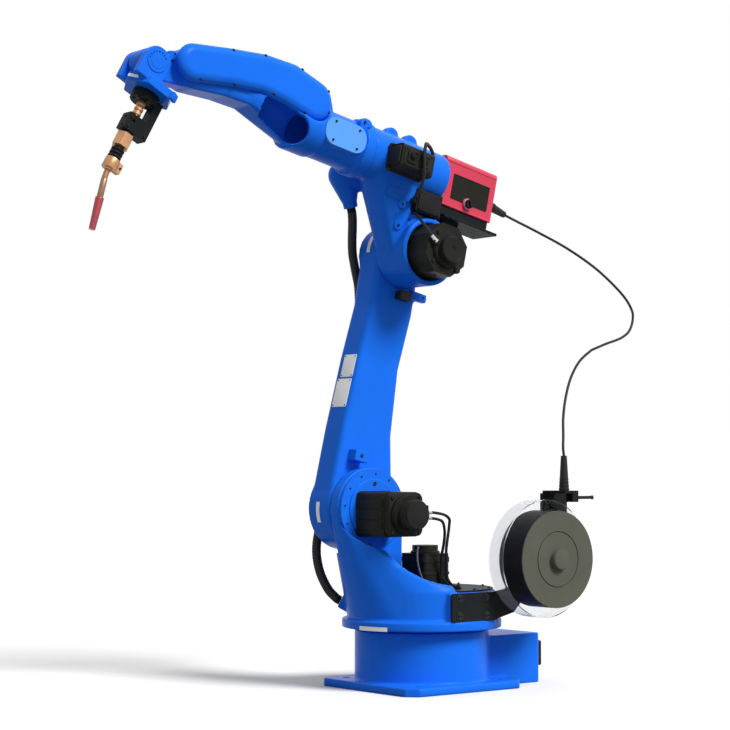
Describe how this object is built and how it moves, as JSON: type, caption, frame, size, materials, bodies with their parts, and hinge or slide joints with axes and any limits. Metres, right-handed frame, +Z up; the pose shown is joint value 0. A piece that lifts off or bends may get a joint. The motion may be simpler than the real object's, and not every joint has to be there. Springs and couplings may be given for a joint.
{
  "type": "industrial robot arm",
  "caption": "Floor-mounted articulated welding robot arm with wire feeder, wire spool and torch, for seam welding.",
  "frame": {"origin": "on the first axis, at the base casting's floor face", "axes": "+X forward over the shoulder, +Y to the robot's left, +Z up"},
  "size_m": [1.9212, 0.5949, 1.8179],
  "materials": {
    "blue_paint": "gloss paint",
    "black_paint": "satin paint",
    "motor_black": "satin paint",
    "black_plastic": "moulded",
    "black_rubber": "extruded sheath",
    "olive_plastic": "moulded",
    "clear_plastic": "clear",
    "red_paint": "satin paint",
    "brass": "machined",
    "copper": "drawn"
  },
  "bodies": {
    "base": {"base_casting": "blue_paint", "connector_panel": "black_paint", "rear_connectors": "black_paint"},
    "turret": {"turret_casting": "blue_paint", "turret_lid": "black_paint", "turn_motor": "motor_black", "shoulder_reducer": "blue_paint", "shoulder_motor": "motor_black", "spool_bracket": "black_paint", "spool_axle": "black_paint", "spool_cover": "clear_plastic", "wire_guide": "black_paint", "conduit_boot_low": "black_rubber", "conduit_low": "black_rubber", "hose_low": "black_rubber", "motor_leads": "black_rubber"},
    "spool": {"wire_spool": "olive_plastic"},
    "lower_arm": {"arm_casting": "blue_paint", "arm_bracket": "blue_paint", "arm_stop": "black_paint", "hose_arm": "black_rubber"},
    "elbow": {"elbow_casting": "blue_paint", "elbow_motor": "motor_black", "roll_motor": "motor_black", "junction_box": "motor_black", "feeder_carrier": "black_paint", "feeder_base": "black_paint", "feeder_cover": "red_paint", "feeder_window": "black_plastic", "feeder_knob": "black_plastic", "conduit_boot_high": "black_rubber", "conduit_high": "black_rubber", "hose_high": "black_rubber", "roll_lead": "black_rubber", "elbow_lead": "black_rubber"},
    "forearm": {"forearm_casting": "blue_paint", "cowl": "blue_paint", "tube_cover": "blue_paint"},
    "wrist": {"wrist_block": "blue_paint"},
    "tool": {"tool_disc": "black_paint", "torch_bracket": "black_paint", "torch_body": "brass", "torch_insulator": "black_plastic", "swan_neck": "copper", "gas_nozzle": "copper", "torch_collar": "brass", "torch_nut": "brass"}
  },
  "joints": [
    {"name": "j1_turn", "type": "hinge", "parent": "base", "child": "turret", "pos_m": [0, 0, 0.178], "axis": [0, 0, 1], "range_deg": [-165, 165]},
    {"name": "spool_spin", "type": "hinge", "parent": "turret", "child": "spool", "pos_m": [-0.235, 0.291, 0.383], "axis": [0, 1, 0], "continuous": true},
    {"name": "j2_shoulder", "type": "hinge", "parent": "turret", "child": "lower_arm", "pos_m": [0.17, 0, 0.53], "axis": [0, 1, 0], "range_deg": [-48, 96], "deforming": ["conduit_low", "conduit_high", "hose_low"]},
    {"name": "j3_elbow", "type": "hinge", "parent": "lower_arm", "child": "elbow", "pos_m": [0.01449, 0, 1.29434], "axis": [0, -1, 0], "range_deg": [-76, 84], "deforming": ["conduit_high", "conduit_low", "hose_high"]},
    {"name": "j4_roll", "type": "hinge", "parent": "elbow", "child": "forearm", "pos_m": [-0.03717, 0, 1.52359], "axis": [0.9755, 0, 0.2198], "range_deg": [-150, 150]},
    {"name": "j5_wrist", "type": "hinge", "parent": "forearm", "child": "wrist", "pos_m": [0.97348, 0, 1.75135], "axis": [0, -1, 0], "range_deg": [-16, 170]},
    {"name": "j6_tool", "type": "hinge", "parent": "wrist", "child": "tool", "pos_m": [0.9385, 0, 1.73196], "axis": [-0.4848, 0, 0.8746], "range_deg": [-200, 200]}
  ]
}
